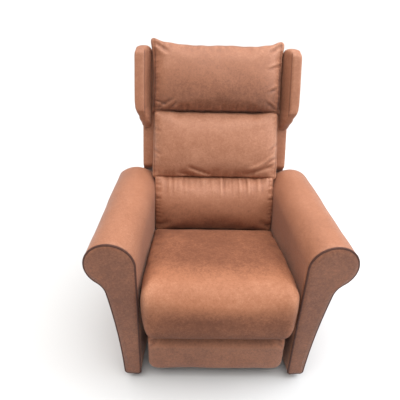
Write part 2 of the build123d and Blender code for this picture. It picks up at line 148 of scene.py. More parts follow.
class StageSettings(bpy.types.PropertyGroup):
    camera: FloatVectorProperty(
        name="Camera", description="Place of the camera", subtype="TRANSLATION", size=3,
        default=(-0.130, -1.479, 1.436),
    )
    pitch: FloatProperty(name="Pitch", description="Downward tilt", subtype="ANGLE", default=radians(30.73))
    yaw: FloatProperty(name="Yaw", description="Turn to the right", subtype="ANGLE", default=radians(1.86))
    roll: FloatProperty(name="Roll", description="Sideways tilt", subtype="ANGLE", default=radians(1.83))
    lens: FloatProperty(name="Lens", description="Focal length in millimetres", default=39.41, min=1)
    shift: FloatVectorProperty(
        name="Shift", description="Shift of the lens, across and up", size=2, default=(0.012, 0.00725),
    )
    floor: FloatVectorProperty(
        name="Floor", description="Colour of the floor", subtype="COLOR", size=3, min=0, max=1,
        default=(0.56, 0.56, 0.56),
    )
    key: FloatProperty(name="Overhead", description="Strength of the broad light above", default=5.4, min=0)
    side: FloatProperty(name="Side", description="Power of the cool light on the right", default=46.0, min=0)
    sky: FloatProperty(name="Sky", description="Strength of the surrounding light", default=0.26, min=0)


# ---- shader expressions ---------------------------------------------------------------------------
class Shade:
    """A shader socket on which arithmetic adds Math nodes."""

    def __init__(self, tree, socket=None):
        self.tree = tree
        self.socket = socket

    def add(self, kind, settings=None, sockets=None, output=0):
        """Add any node: its settings first, then the values or links of its sockets."""
        node = self.tree.nodes.new("ShaderNode" + kind)
        for name, value in (settings or {}).items():
            setattr(node, name, value)
        for name, value in (sockets or {}).items():
            if isinstance(value, Shade):
                self.tree.links.new(value.socket, node.inputs[name])
            else:
                node.inputs[name].default_value = value
        return Shade(self.tree, node.outputs[output])

    def math(self, operation, *others):
        values = {place: value for place, value in enumerate((self, *others))}
        return self.add("Math", {"operation": operation}, values)

    def __add__(self, other):
        return self.math("ADD", other)

    def __radd__(self, other):
        return self.math("ADD", other)

    def __sub__(self, other):
        return self.math("SUBTRACT", other)

    def __rsub__(self, other):
        return self.add("Math", {"operation": "SUBTRACT"}, {0: other, 1: self})

    def __mul__(self, other):
        return self.math("MULTIPLY", other)

    def clamped(self, low=0.0, high=1.0):
        return self.math("MAXIMUM", low).math("MINIMUM", high)

    def spread(self, low, high):
        """0 below low, 1 above high, and smooth between them."""
        settings = {"interpolation_type": "SMOOTHSTEP"}
        return self.add("MapRange", settings, {"Value": self, "From Min": low, "From Max": high})

    def tint(self, base, other):
        """Colours or colour sockets mixed by this mask."""
        return self.add("Mix", {"data_type": "RGBA"}, {"Factor": self, 6: colour(base), 7: colour(other)}, 2)


def colour(value):
    return value if isinstance(value, Shade) else (*value, 1)


def new_material(name):
    """A material with its Principled shader, and the Shade that starts its expressions."""
    material = bpy.data.materials.new(name)
    material.use_nodes = True
    surface = material.node_tree.nodes["Principled BSDF"]
    return material, surface, Shade(material.node_tree)


def join(start, surface, **sockets):
    """Link or set the Principled shader's sockets; underscores stand for spaces."""
    for name, value in sockets.items():
        socket = surface.inputs[name.replace("_", " ")]
        if isinstance(value, Shade):
            start.tree.links.new(value.socket, socket)
        else:
            socket.default_value = value


def noise_of(start, where, scale, detail=4.0, roughness=0.55, distortion=0.0):
    return start.add("TexNoise", None, {
        "Vector": where, "Scale": scale, "Detail": detail, "Roughness": roughness, "Distortion": distortion,
    })


def leather_material(name, tan, dark, pale, wear_and_shading_gain=1.0, gloss=0.36):
    """Pull-up leather: cloudy colour, paler where it is stretched, with painted shade in its folds, seams and
    shaded places, painted highlights, and a pebbled grain.
    """
    leather = bpy.context.scene.chair_leather
    material, surface, start = new_material(name)
    where = start.add("TexCoord", output=3)
    clouds = noise_of(start, where, 6.0, 3.0, 0.5, 0.2)
    mottle = noise_of(start, where, 42.0, 6.0, 0.70, 0.2)
    fibre = noise_of(start, where, 130.0, 5.0, 0.72)
    # This attribute holds pale wear on raised places, painted shade in folds, seams and shaded places, and
    # painted highlights.
    wear_and_shading = start.add("Attribute", {"attribute_name": "wear_and_shading"}, output=2)
    light = (clouds - 0.5) * 0.45 + (mottle - 0.5) * 0.50 + (fibre - 0.5) * 0.80 + wear_and_shading * wear_and_shading_gain + 0.5
    low = light.spread(-0.10, 0.58).tint(dark, tan)
    hide = light.spread(0.46, 1.04).tint(low, pale)
    cells = start.add("TexVoronoi", {"feature": "DISTANCE_TO_EDGE"}, {
        "Vector": where, "Scale": 1 / leather.grain, "Randomness": 1.0,
    })
    pebble = cells.spread(0.0, 0.30)
    creping = noise_of(start, where, 95.0, 5.0, 0.7, 1.2)
    height = pebble * 0.55 + creping * 0.9 + fibre * 0.35
    relief = 2.6 * leather.grain_depth
    bump = start.add("Bump", None, {"Strength": 0.42, "Distance": relief, "Height": height})
    shadowed = pebble.spread(0.0, 0.6).tint(times(0.80, dark), hide)
    mixed = start.add("Mix", {"data_type": "RGBA"}, {"Factor": 0.72, 6: shadowed, 7: hide}, 2)
    rough = 0.47 + (mottle - 0.5) * 0.20 - wear_and_shading * 0.10 + (1 - pebble) * 0.10
    join(start, surface, Base_Color=mixed, Roughness=rough.clamped(0.28, 0.75), Normal=bump)
    join(start, surface, IOR=1.46, Specular_IOR_Level=gloss, Coat_Weight=0.05, Coat_Roughness=0.35)
    join(start, surface, Sheen_Weight=0.25 * gloss, Sheen_Roughness=0.45)
    return material


def timber_material():
    """Sawn birch with long grain along its boards and faint rings."""
    material, surface, start = new_material("sawn_birch")
    where = start.add("TexCoord", output=3)
    long_grain = start.add("Mapping", None, {"Vector": where, "Scale": (60, 6, 60)})
    rings = noise_of(start, long_grain, 1.6, 6.0, 0.6, 0.8)
    pores = noise_of(start, long_grain, 9.0, 2.0, 0.5)
    tone = rings * 0.75 + pores * 0.25
    wood = tone.spread(0.34, 0.68).tint((0.42, 0.26, 0.13), (0.66, 0.47, 0.27))
    bump = start.add("Bump", None, {"Strength": 0.3, "Distance": 0.0006, "Height": tone})
    join(start, surface, Base_Color=wood, Roughness=0.62 + (tone - 0.5) * 0.2, Normal=bump)
    return material


def coated_steel_material():
    """Black powder coat with a fine orange-peel skin."""
    material, surface, start = new_material("black_powder_coat")
    where = start.add("TexCoord", output=3)
    peel = noise_of(start, where, 700.0, 2.0, 0.5)
    dust = noise_of(start, where, 26.0, 5.0, 0.6)
    coat = dust.spread(0.45, 0.75).tint((0.018, 0.018, 0.019), (0.045, 0.043, 0.041))
    bump = start.add("Bump", None, {"Strength": 0.25, "Distance": 0.0004, "Height": peel})
    join(start, surface, Base_Color=coat, Roughness=0.38 + (dust - 0.5) * 0.25, Normal=bump)
    return material


def bare_metal_material(name, bright, dull, roughness):
    """Plated or oiled metal, cloudy and lightly scratched."""
    material, surface, start = new_material(name)
    where = start.add("TexCoord", output=3)
    cloud = noise_of(start, where, 60.0, 5.0, 0.6)
    drawn = start.add("Mapping", None, {"Vector": where, "Scale": (40, 900, 900)})
    scratches = noise_of(start, drawn, 1.0, 2.0, 0.5)
    metal = cloud.spread(0.35, 0.68).tint(dull, bright)
    bump = start.add("Bump", None, {"Strength": 0.12, "Distance": 0.0002, "Height": scratches})
    rough = roughness + (cloud - 0.5) * 0.3
    join(start, surface, Base_Color=metal, Roughness=rough, Normal=bump, Metallic=1.0)
    return material


def nylon_material():
    """Black moulded nylon with a fine spark-eroded texture."""
    material, surface, start = new_material("moulded_nylon")
    where = start.add("TexCoord", output=3)
    spark = noise_of(start, where, 1500.0, 2.0, 0.6)
    scuffs = noise_of(start, where, 70.0, 5.0, 0.65)
    resin = scuffs.spread(0.55, 0.80).tint((0.020, 0.020, 0.021), (0.070, 0.068, 0.066))
    bump = start.add("Bump", None, {"Strength": 0.3, "Distance": 0.0002, "Height": spark})
    join(start, surface, Base_Color=resin, Roughness=0.50 + (scuffs - 0.5) * 0.3, Normal=bump)
    return material


MATERIALS = {}


def times(factor, tone):
    """A colour made darker or paler."""
    return tuple(factor * part for part in tone)


def make_materials():
    leather = bpy.context.scene.chair_leather
    colours = (leather.tan, leather.dark, leather.pale, leather.piping)
    tan, dark, pale, piping = (tuple(tone) for tone in colours)
    MATERIALS["leather"] = leather_material("tan_pull_up_leather", tan, dark, pale)
    MATERIALS["matt_leather"] = leather_material("matt_pull_up_leather", tan, dark, pale, gloss=0.10)
    MATERIALS["piping"] = leather_material(
        "dark_piping_leather", piping, times(0.5, piping), times(2.2, piping), wear_and_shading_gain=0.0, gloss=0.15)
    # A darker leather whose colour is painted shade, used for the inner back seen in the gaps between the
    # back cushions.
    MATERIALS["gap_shade"] = leather_material("gap_shade_leather", dark, times(0.6, dark), tan, wear_and_shading_gain=0.0)
    MATERIALS["timber"] = timber_material()
    MATERIALS["painted_steel"] = coated_steel_material()
    MATERIALS["zinc_steel"] = bare_metal_material("bright_zinc", (0.74, 0.74, 0.72), (0.50, 0.51, 0.52), 0.36)
    MATERIALS["spring_wire"] = bare_metal_material(
        "oiled_spring_wire", (0.36, 0.36, 0.37), (0.16, 0.15, 0.15), 0.42)
    MATERIALS["black_nylon"] = nylon_material()


# ---- meshes ---------------------------------------------------------------------------------------
def points_of(piece):
    points = np.empty(len(piece.data.vertices) * 3)
    piece.data.vertices.foreach_get("co", points)
    return points.reshape(-1, 3)


def set_points(piece, points):
    piece.data.vertices.foreach_set("co", points.ravel())
    piece.data.update()


def place_points(points, place):
    matrix = np.array(place)
    return points @ matrix[:3, :3].T + matrix[:3, 3]


def new_piece(name, bm, body, material="leather", replaced=()):
    """Make an object of a bmesh, attach it to the body it rides on, and hide the CAD parts it stands for."""
    mesh = bpy.data.meshes.new(name)
    bm.to_mesh(mesh)
    bm.free()
    mesh.shade_smooth()
    mesh.materials.append(MATERIALS[material])
    piece = bpy.data.objects.new(name, mesh)
    bpy.context.scene.collection.objects.link(piece)
    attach(piece, body)
    if replaced:
        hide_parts(*replaced)
    return piece


def keep_modifiers(piece):
    """Replace a piece's mesh by what its modifiers make of it."""
    evaluated = piece.evaluated_get(bpy.context.evaluated_depsgraph_get())
    mesh = bpy.data.meshes.new_from_object(evaluated)
    piece.modifiers.clear()
    old = piece.data
    piece.data = mesh
    bpy.data.meshes.remove(old)
    mesh.shade_smooth()


def remesh(piece, voxel):
    modifier = piece.modifiers.new("even mesh", "REMESH")
    modifier.mode = "VOXEL"
    modifier.voxel_size = voxel
    keep_modifiers(piece)


def refine(piece):
    modifier = piece.modifiers.new("finer mesh", "SUBSURF")
    modifier.levels = modifier.render_levels = 1
    keep_modifiers(piece)


def relax(piece, rounds, factor=0.5):
    """Smooth a piece's surface evenly."""
    bm = bmesh.new()
    bm.from_mesh(piece.data)
    for _ in range(rounds):
        bmesh.ops.smooth_vert(
            bm, verts=bm.verts, factor=factor, use_axis_x=True, use_axis_y=True, use_axis_z=True)
    bm.to_mesh(piece.data)
    bm.free()


def edge_ends(mesh):
    """The two vertices of every edge."""
    ends = np.empty(len(mesh.edges) * 2, dtype=int)
    mesh.edges.foreach_get("vertices", ends)
    return ends.reshape(-1, 2)


def neighbour_mean(values, ends):
    """Mean of each vertex's neighbours' values."""
    count = np.bincount(ends.ravel(), minlength=len(values))
    total = np.zeros_like(values)
    for one, other in ((0, 1), (1, 0)):
        for axis in range(values.shape[1]):
            weights = values[ends[:, other], axis]
            total[:, axis] += np.bincount(ends[:, one], weights=weights, minlength=len(values))
    return total / np.maximum(count, 1)[:, None]


# Raised places get paler wear; folds and seam grooves get painted shade.
RELIEF_WEAR_AND_SHADE = 0.15
RELIEF_WEAR_AND_SHADE_LIMITS = (-0.34, 0.20)
SEAM_SHADE = 0.45
RELIEF_SMOOTHING = 6
MOVE_SMOOTHING = 4


def add_wear_and_shading(piece, gain=1.0, seams=0.0, tone=0.0):
    """Store the leather's colour shift at each place: paler wear where it stands out, painted shade where it
    lies in a fold or a seam.

    A tone below 0 is painted shade, and a tone above 0 a painted highlight.
    """
    mesh = piece.data
    ends = edge_ends(mesh)
    normals = np.empty(len(mesh.vertices) * 3)
    mesh.vertices.foreach_get("normal", normals)
    normals = normals.reshape(-1, 3)
    points = points_of(piece)
    smooth = points
    for _ in range(3):
        smooth = neighbour_mean(smooth, ends)
    bulge = ((points - smooth) * normals).sum(axis=1, keepdims=True)
    for _ in range(RELIEF_SMOOTHING):
        bulge = 0.4 * bulge + 0.6 * neighbour_mean(bulge, ends)
    spread = np.percentile(np.abs(bulge), 92) + 1e-7
    # Paler wear on raised places, painted shade in folds and seams, and the tone's painted shade and
    # highlights.
    wear_and_shading = np.clip(bulge[:, 0] / spread * RELIEF_WEAR_AND_SHADE * gain, *RELIEF_WEAR_AND_SHADE_LIMITS) - SEAM_SHADE * seams + tone
    attribute = mesh.attributes.new("wear_and_shading", "FLOAT", "POINT")
    attribute.data.foreach_set("value", wear_and_shading)


def billow(piece, held, cap, stretch=0.03):
    """Blow a cover up under its filling by a short cloth simulation, and keep the result.

    No place moves further than the cap. Held places only follow their neighbours a little.
    """
    scene = bpy.context.scene
    settings = scene.chair_cushions
    group = piece.vertex_groups.new(name="held")
    group.add([int(index) for index in np.flatnonzero(held)], 1.0, "REPLACE")
    before = points_of(piece)
    modifier = piece.modifiers.new("filling", "CLOTH")
    cloth = modifier.settings
    cloth.quality = 5
    cloth.mass = 0.35
    cloth.tension_stiffness = cloth.compression_stiffness = 14
    cloth.shear_stiffness = 6
    cloth.bending_stiffness = 1.2
    cloth.use_pressure = True
    cloth.uniform_pressure_force = settings.pressure
    cloth.shrink_min = -stretch
    cloth.vertex_group_mass = "held"
    cloth.effector_weights.gravity = 0
    modifier.collision_settings.use_collision = False
    modifier.point_cache.frame_end = settings.frames
    for step in range(1, settings.frames + 1):
        scene.frame_set(step)
    evaluated = piece.evaluated_get(bpy.context.evaluated_depsgraph_get())
    after = np.empty(len(before) * 3)
    evaluated.data.vertices.foreach_get("co", after)
    move = after.reshape(-1, 3) - before
    length = np.linalg.norm(move, axis=1, keepdims=True)
    move *= cap * np.tanh(length / (1.5 * cap)) / np.maximum(length, 1e-9)
    ends = edge_ends(piece.data)
    for _ in range(MOVE_SMOOTHING):
        move = neighbour_mean(move, ends)
    piece.modifiers.clear()
    piece.vertex_groups.clear()
    scene.frame_set(1)
    set_points(piece, before + move)


def cover_of(node, name, body, voxel, relaxing):
    """An evenly meshed, rounded copy of a soft CAD solid, to shape into its cover."""
    bm = bmesh.new()
    bm.from_mesh(bpy.data.objects[node].data)
    bmesh.ops.remove_doubles(bm, verts=bm.verts, dist=1e-5)
    piece = new_piece(name, bm, body, "leather", [node])
    remesh(piece, voxel)
    relax(piece, relaxing)
    return piece


def bump_at(distance, width):
    """A bell of height 1 at distance 0."""
    return np.exp(-(distance / width) ** 2)


def step_up(values, low, high):
    """0 below low, 1 above high, and smooth between them."""
    t = np.clip((values - low) / (high - low), 0, 1)
    return t * t * (3 - 2 * t)


def stroke(across, along, start, end, width):
    """How strongly each place lies on a crease from start to end: 1 on it, fading at its sides and end."""
    start, end = np.array(start), np.array(end)
    run = end - start
    length = np.hypot(*run)
    offset = np.stack([across, along], axis=-1) - start
    reach = (offset @ run) / length**2
    side = (offset[..., 0] * run[1] - offset[..., 1] * run[0]) / length
    fade = step_up(reach, -0.05, 0.25) * (1 - step_up(reach, 0.55, 1.05))
    fold = bump_at(side, width) - 0.55 * bump_at(side - 1.9 * width, 1.1 * width)
    return fold * fade


def lumps(points, scale, seed):
    """Soft random unevenness, from -1 to 1."""
    shift = Vector((seed * 3.1, seed * 1.7, seed * 2.3))
    return np.array([noise.noise(Vector(point) * scale + shift) for point in points])


def noise_row(values, scale, seed):
    """Random ridges along one coordinate, from about -1 to 1."""
    steps = np.linspace(values.min(), values.max(), 600)
    row = np.array([noise.noise(Vector((step * scale, seed * 5.3, 0.5))) for step in steps])
    return np.interp(values, steps, row) * 1.8


# ---- back cushions --------------------------------------------------------------------------------
SEAM_INSET = 0.010
SEAM_WIDTH = 0.0028
SEAM_DEPTH = 0.0034
PUCKER_DEPTH = 0.0016
EAR_LEAN = 0.25
TOP_SAG = 0.004


def pillow(node, name, pinch, depth_at_side, cap, grow=(0, 0, 0, 0), belly=0.0, ears=(0, 0), sewn=True,
           creases=(), gathers=0.0, square=0.010, tones=(0, 0), seed=1):
    """A back cushion: thin at its sewn edges, crowned between them, with its seams, creases and gathers.

    grow is how much wider it gets at its foot and top, and how much longer at its foot and top. belly is how
    far its face sags, ears how far its upper corners stand up, and tones the painted shading at its foot and
    top: painted shade below 0, a painted highlight above 0.
    """
    low, high = node_box(node, BACK)
    piece = cover_of(node, name, "back", bpy.context.scene.chair_cushions.voxel, 6)
    points = place_points(points_of(piece), BACK.inverted())
    back_plane = node_box("back_stiles", BACK)[0].y - 0.006

    def fractions():
        """Where the points lie across and up the cushion, from -1 to 1."""
        middle, half = (low + high) / 2, (high - low) / 2
        return (points[:, 0] - middle.x) / half.x, (points[:, 2] - middle.z) / half.z

    a, b = fractions()
    side_at_foot, side_at_top, foot, top = grow
    points[:, 0] += a * (side_at_foot + (side_at_top - side_at_foot) * (1 + b) / 2)
    points[:, 2] += np.where(b > 0, b * top, b * foot)
    low += Vector((-max(grow[:2]), 0, -foot))
    high += Vector((max(grow[:2]), 0, top))
    a, b = fractions()
    depth = back_plane - low.y
    front = np.clip((back_plane - points[:, 1]) / depth, 0, 1)
    points[:, 2] -= belly * front * np.clip(1 - b**2, 0, 1)
    corner = step_up(np.abs(a), 0.80, 1.0) * step_up(np.abs(b), 0.68, 1.0)
    points[:, 0] += np.sign(a) * square * corner
    points[:, 2] += np.sign(b) * square * corner
    points[:, 1] += front * depth * (1 - depth_at_side) * np.clip(np.abs(a), 0, 1) ** 7
    points[:, 0] -= np.sign(a) * np.abs(a) ** 6 * pinch * (1 - np.clip(b, -1, 1) ** 2)
    set_points(piece, place_points(points, BACK))
    billow(piece, points[:, 1] > back_plane - 0.010, cap)
    refine(piece)

    points = place_points(points_of(piece), BACK.inverted())
    a, b = fractions()
    front = step_up(back_plane - points[:, 1], 0.004, 0.030)
    if max(ears) > 0:
        raise_ears(points, a, b, front, ears, seed)
    half_wide, half_tall = (high.x - low.x) / 2, (high.z - low.z) / 2
    from_side = half_wide - np.abs(points[:, 0] - (low.x + high.x) / 2) - pinch * (1 - np.clip(b, -1, 1) ** 2)
    from_foot = points[:, 2] - low.z
    groove = np.zeros(len(points))
    if sewn:
        foot_seam = bump_at(from_foot - SEAM_INSET, 0.0030) * (from_side > SEAM_INSET)
        groove = np.maximum(bump_at(from_side - SEAM_INSET, SEAM_WIDTH), foot_seam)
        foot_puckers = noise_row(points[:, 0], 105.0, seed + 3) * bump_at(from_foot - 2.2 * SEAM_INSET, 0.013)
        points[:, 1] += 0.0017 * foot_puckers * front
    points[:, 1] += SEAM_DEPTH * groove * front
    puckers = noise_row(points[:, 2], 140.0, seed) * bump_at(from_side - 1.6 * SEAM_INSET, 0.011)
    points[:, 1] += PUCKER_DEPTH * puckers * front
    across, along, reach = a * half_wide, b * half_tall, (half_wide, half_tall)
    for start, end, width, deep in creases:
        fold = stroke(across, along, np.array(start) * reach, np.array(end) * reach, width)
        points[:, 1] += deep * fold * front
    if gathers:
        row = 0.7 * noise_row(points[:, 0], 50.0, seed + 4) + noise_row(points[:, 0], 110.0, seed + 9)
        strength = 0.55 + 0.45 * step_up(a, -0.2, 0.5)
        points[:, 1] += gathers * strength * row * step_up(b, 0.15, 0.90) * front
    points[:, 1] += 0.0022 * front * lumps(points, 13.0, seed + 2)
    set_points(piece, place_points(points, BACK))
    relax(piece, 1, 0.3)
    # Painted shade (tones below 0) and painted highlights (tones above 0) run from the cushion's foot to its
    # top, and painted shade darkens its seam grooves.
    low_tone, high_tone = tones
    tone = low_tone + (high_tone - low_tone) * step_up(b, -0.75, 0.45)
    add_wear_and_shading(piece, seams=0.6 * groove * front, tone=tone)


def raise_ears(points, a, b, front, ears, seed):
    """Stand a cushion's upper corners up, and let its gathered top edge sag between them."""
    for sign, rise in zip((-1, 1), ears):
        corner = step_up(sign * a, 0.62, 1.0) * step_up(b, 0.35, 1.0)
        points[:, 2] += rise * corner
        points[:, 0] += sign * EAR_LEAN * rise * corner
    top = np.clip(b, 0, 1)
    points[:, 2] -= TOP_SAG * np.clip(1 - a**2, 0, 1) * top**4
    points[:, 2] += 0.0045 * top**5 * lumps(points * (1, 0, 0), 21.0, seed)
    gathered = noise_row(points[:, 0], 70.0, seed + 11) * step_up(b, 0.62, 0.98)
    points[:, 1] += 0.0022 * gathered * front


class RECLINER_OT_back_cushions(bpy.types.Operator):
    """Make the head, middle and low cushions of the back"""
    bl_idname = "recliner.back_cushions"
    bl_label = "Back cushions"

    def execute(self, context):
        pillow(
            "head_cushion", "head_cushion_leather", pinch=0.005, depth_at_side=0.42, cap=0.013,
            grow=(0.003, 0.005, 0.009, 0.000), belly=0.034, ears=(0.013, 0.006), tones=(-0.32, 0.00), seed=3,
            creases=[
                ((-0.98, -0.62), (-0.72, -0.80), 0.006, 0.0045),
                ((-0.95, -0.90), (-0.62, -0.55), 0.007, 0.0040),
                ((-0.78, -0.96), (-0.58, -0.66), 0.006, 0.0040),
                ((-0.96, 0.92), (-0.70, 0.66), 0.008, 0.0050),
                ((0.97, 0.94), (0.74, 0.70), 0.007, 0.0045),
                ((0.98, 0.42), (0.70, 0.22), 0.006, 0.0035),
                ((0.98, -0.20), (0.72, -0.42), 0.006, 0.0030),
                ((0.95, -0.90), (0.70, -0.62), 0.006, 0.0035),
            ],
        )
        pillow(
            "middle_back_cushion", "middle_cushion_leather", pinch=0.003, depth_at_side=0.50, cap=0.011,
            grow=(0.008, 0.000, 0.013, 0.006), belly=0.008, square=0.013, tones=(0.28, 0.13), seed=5,
            creases=[
                ((-0.46, -0.58), (0.05, -0.93), 0.008, 0.0060),
                ((-0.60, -0.78), (-0.20, -0.95), 0.007, 0.0040),
                ((0.96, -0.52), (0.36, -0.90), 0.009, 0.0060),
                ((0.98, -0.28), (0.66, -0.66), 0.007, 0.0040),
                ((0.97, 0.10), (0.80, -0.16), 0.006, 0.0030),
                ((-0.98, -0.10), (-0.82, -0.32), 0.006, 0.0030),
                ((-0.97, 0.50), (-0.82, 0.36), 0.006, 0.0028),
            ],
        )
        pillow(
            "low_back_cushion", "low_cushion_leather", pinch=0.000, depth_at_side=0.72, cap=0.010,
            grow=(0.014, 0.017, 0.020, 0.006), sewn=False, gathers=0.0048, tones=(-0.22, 0.06), seed=7,
            creases=[
                ((-0.98, -0.80), (-0.70, -0.55), 0.012, 0.0035),
                ((0.98, -0.80), (0.72, -0.50), 0.012, 0.0035),
            ],
        )
        return {"FINISHED"}


# ---- seat and footrest ----------------------------------------------------------------------------
NOSE_NARROWING = 0.044
NOSE_FOOT_NARROWING = 0.034
SEAT_PAINTED_SHADE = -0.40
CREST_PAINTED_HIGHLIGHT = 0.46
SKIRT_PAINTED_SHADE = -0.30
PAD_PAINTED_SHADE = -0.26
PAD_HEIGHT = 0.18
PAD_TOP_LEAN = 0.016
PAD_FOLDS = (((0.97, 0.82), (0.80, 0.97), 0.0050), ((0.98, 0.70), (0.84, 0.90), 0.0035))


class RECLINER_OT_seat_cushion(bpy.types.Operator):
    """Make the one-piece seat with its rounded nose"""
    bl_idname = "recliner.seat_cushion"
    bl_label = "Seat cushion"

    def execute(self, context):
        low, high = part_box("seat_cushion")
        piece = cover_of("seat_cushion", "seat_cushion_leather", "seat", 0.0072, 14)
        piece.data.materials[0] = MATERIALS["matt_leather"]
        points = points_of(piece)
        held = (points[:, 2] < low.z + 0.052) & (points[:, 1] > low.y + 0.07)
        billow(piece, held, 0.013, 0.010)
        refine(piece)
        points = points_of(piece)
        a = 2 * points[:, 0] / (high.x - low.x)
        upper = step_up(points[:, 2], low.z + 0.06, low.z + 0.12)
        nose = step_up(-points[:, 1], -low.y - 0.06, -low.y)
        under = nose * (1 - step_up(points[:, 2], low.z + 0.02, low.z + 0.09))
        points[:, 2] -= under * (0.032 - 0.012 * np.clip(1 - a**2, 0, 1))
        foot = 1 - step_up(points[:, 2], low.z - 0.01, low.z + 0.06)
        points[:, 0] *= 1 - nose * (NOSE_NARROWING + NOSE_FOOT_NARROWING * foot)
        points[:, 2] += 0.0035 * upper * lumps(points, 6.0, 11)
        points[:, 1] -= 0.0030 * nose * lumps(points, 7.0, 12)
        rear = step_up(points[:, 1], -0.20, high.y)
        points[:, 0] += np.sign(a) * 0.008 * step_up(np.abs(a), 0.5, 0.85) * rear
        set_points(piece, points)
        # Painted shade darkens the whole seat, most on the skirt under its nose, and a painted highlight
        # lightens the crest along its front.
        crest = step_up(-points[:, 1], 0.23, 0.40) * step_up(points[:, 2], low.z + 0.09, low.z + 0.18)
        skirt = 1 - step_up(points[:, 2], low.z - 0.02, low.z + 0.07)
        add_wear_and_shading(piece, tone=SEAT_PAINTED_SHADE + CREST_PAINTED_HIGHLIGHT * crest + SKIRT_PAINTED_SHADE * skirt)
        return {"FINISHED"}


class RECLINER_OT_footrest_pad(bpy.types.Operator):
    """Make the footrest's padded flap"""
    bl_idname = "recliner.footrest_pad"
    bl_label = "Footrest pad"

    def execute(self, context):
        low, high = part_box("footrest_pad")
        piece = cover_of("footrest_pad", "footrest_pad_leather", "footrest", 0.0055, 8)
        points = points_of(piece)
        billow(piece, points[:, 1] > high.y - 0.004, 0.008, 0.010)
        refine(piece)
        points = points_of(piece)
        half = (high.x - low.x) / 2
        a = points[:, 0] / half
        height = (points[:, 2] - low.z) / (high.z - low.z)
        front = step_up(high.y - points[:, 1], 0.006, 0.030)
        points[:, 1] += PAD_TOP_LEAN * front * step_up(height, 0.72, 1.0)
        reach = (half, PAD_HEIGHT)
        for sign in (-1, 1):
            for start, end, depth in PAD_FOLDS:
                fold = stroke(sign * a * half, height * PAD_HEIGHT, np.array(start) * reach,
                              np.array(end) * reach, 0.006)
                points[:, 1] += depth * fold * front
        points[:, 1] -= 0.0022 * front * lumps(points, 9.0, 21)
        set_points(piece, points)
        # Painted shade darkens the whole footrest pad.
        add_wear_and_shading(piece, tone=PAD_PAINTED_SHADE)
        return {"FINISHED"}


# ---- arms -----------------------------------------------------------------------------------------
PANEL_DOME = ((0.0025, 0.0028), (0.004, 0.0028), (0.006, 0.0022), (0.008, 0.0012))
ARM_WAVES = 0.0035
ARM_RIPPLES = 0.0014
ARM_SIDE_CROWN = 0.0030
ARM_FOOT_PAINTED_SHADE = -0.22
ARM_PANEL_PAINTED_SHADE = -0.37


def spin_on(bm, vertex, centre, angle, steps):
    """Draw an arc on from a vertex of an outline, and give its last vertex."""
    made = bmesh.ops.spin(
        bm, geom=[vertex], cent=centre, axis=(0, 1, 0), angle=angle, steps=steps, space=CHAIR)
    return next(item for item in made["geom_last"] if isinstance(item, bmesh.types.BMVert))


def run_to(bm, vertex, target, steps):
    """Draw a straight run on from a vertex of an outline, in equal steps."""
    stride = (Vector(target) - vertex.co) / steps
    for _ in range(steps):
        made = bmesh.ops.extrude_vert_indiv(bm, verts=[vertex])
        vertex = made["verts"][0]
        vertex.co += stride
    return vertex


def arc_to(bm, vertex, tangent, target, steps):
    """Draw an arc that leaves a vertex along a tangent and ends at a target; give its end and end tangent."""
    start = vertex.co.copy()
    chord = Vector(target) - start
    side = Vector((tangent.z, 0, -tangent.x))
    radius = chord.length_squared / (2 * chord.dot(side))
    centre = start + side * radius
    turn = 2 * chord.angle(tangent) * (1 if radius > 0 else -1)
    last = spin_on(bm, vertex, centre, turn, steps)
    return last, Matrix.Rotation(turn, 3, "Y") @ tangent


def arm_outline(bm, low, high):
    """The closed front outline of an arm: an upright post with an outward scroll."""
    centre = Vector((high.x - SCROLL_R, 0, high.z - SCROLL_R))
    foot = bm.verts.new((centre.x - SCROLL_R, 0, low.z))
    inner_top = run_to(bm, foot, (centre.x - SCROLL_R, 0, centre.z), 14)
    scroll_end = spin_on(bm, inner_top, centre, pi - SCROLL_END, 30)
    tangent = Vector((sin(SCROLL_END), 0, -cos(SCROLL_END)))
    pinch, tangent = arc_to(bm, scroll_end, tangent, SCROLL_PINCH, 6)
    outer_foot, _ = arc_to(bm, pinch, tangent, (ARM_OUTER_FOOT_X, 0, low.z), 12)
    last = run_to(bm, outer_foot, foot.co, 4)
    bmesh.ops.pointmerge(bm, verts=[foot, last], merge_co=foot.co)
    return list(bm.edges)


def turn_to_side(bm, side):
    """Toe an arm's mesh in, on its own side of the chair."""
    bm.transform(SIDES[side] @ RIGHT_ARM)
    if side == "left":
        bmesh.ops.reverse_faces(bm, faces=bm.faces)


